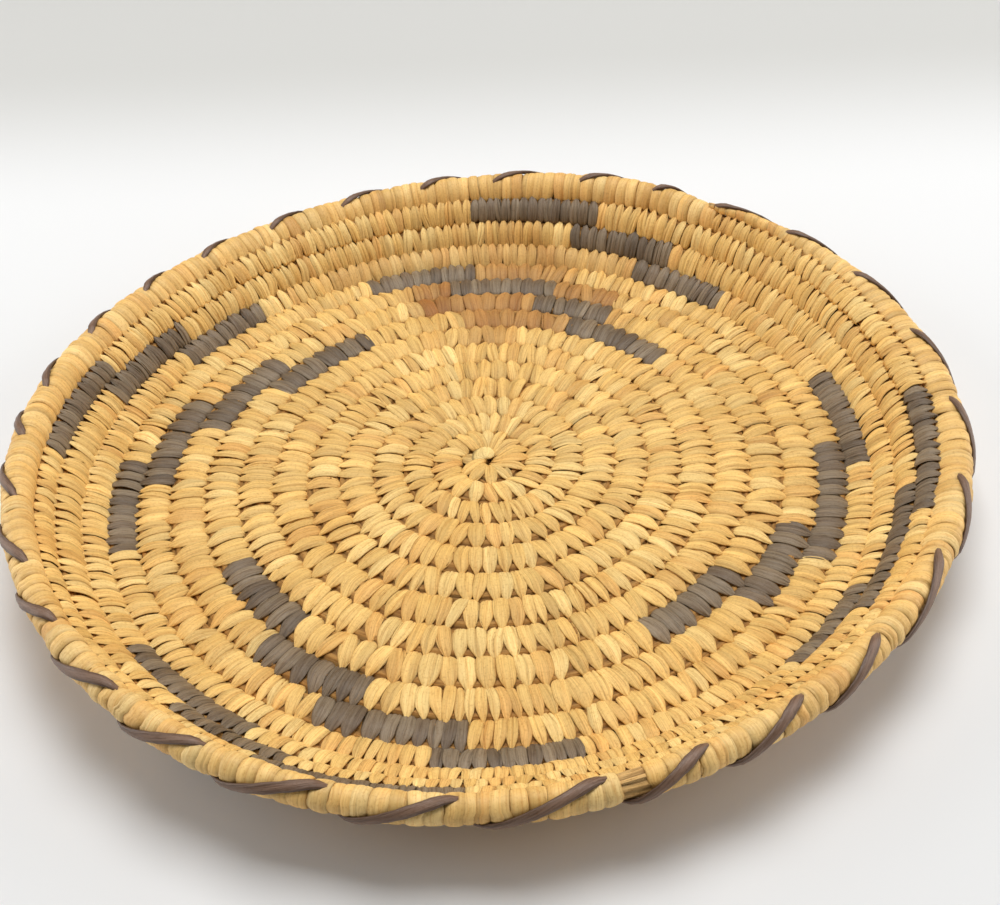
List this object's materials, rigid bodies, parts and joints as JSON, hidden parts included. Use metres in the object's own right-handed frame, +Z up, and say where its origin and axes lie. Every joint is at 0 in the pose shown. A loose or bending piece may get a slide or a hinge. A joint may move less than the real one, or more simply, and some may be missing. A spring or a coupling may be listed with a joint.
{
  "type": "coiled basket plate",
  "caption": "Round coiled basket plate with a low flared wall, a dark stepped whirl in two bands and a wrapped, lashed rim.",
  "frame": {"origin": "middle of the plate's outline, on the surface that it stands on", "axes": "+Z up out of the dish, -Y towards the side that faces the viewer in the picture, +X to the right"},
  "size_m": [0.2764, 0.2725, 0.0329],
  "materials": {
    "pale_sewing": "matt pale split-leaf stitches over a grass bundle",
    "rim_wrapping": "satin pale strip, wrapped side by side",
    "dark_sewing": "matt dark brown-black stitches",
    "dark_lashing": "slightly shiny dark brown strip"
  },
  "bodies": {
    "root": {"base_coil": "pale_sewing", "dark_step_inner_back_1": "dark_sewing", "dark_step_inner_back_2": "dark_sewing", "dark_step_inner_back_3": "dark_sewing", "dark_step_inner_back_4": "dark_sewing", "dark_step_inner_front_1": "dark_sewing", "dark_step_inner_front_2": "dark_sewing", "dark_step_inner_front_3": "dark_sewing", "dark_step_inner_front_4": "dark_sewing", "dark_step_inner_left_1": "dark_sewing", "dark_step_inner_left_2": "dark_sewing", "dark_step_inner_left_3": "dark_sewing", "dark_step_inner_left_4": "dark_sewing", "dark_step_inner_right_1": "dark_sewing", "dark_step_inner_right_2": "dark_sewing", "dark_step_inner_right_3": "dark_sewing", "dark_step_inner_right_4": "dark_sewing", "dark_step_outer_back_1": "dark_sewing", "dark_step_outer_back_2": "dark_sewing", "dark_step_outer_back_3": "dark_sewing", "dark_step_outer_front_1": "dark_sewing", "dark_step_outer_front_2": "dark_sewing", "dark_step_outer_front_3": "dark_sewing", "dark_step_outer_left_1": "dark_sewing", "dark_step_outer_left_2": "dark_sewing", "dark_step_outer_left_3": "dark_sewing", "dark_step_outer_right_1": "dark_sewing", "dark_step_outer_right_2": "dark_sewing", "dark_step_outer_right_3": "dark_sewing", "rim_coil": "rim_wrapping", "rim_lashing": "dark_lashing", "wall_coil": "pale_sewing"}
  },
  "joints": []
}
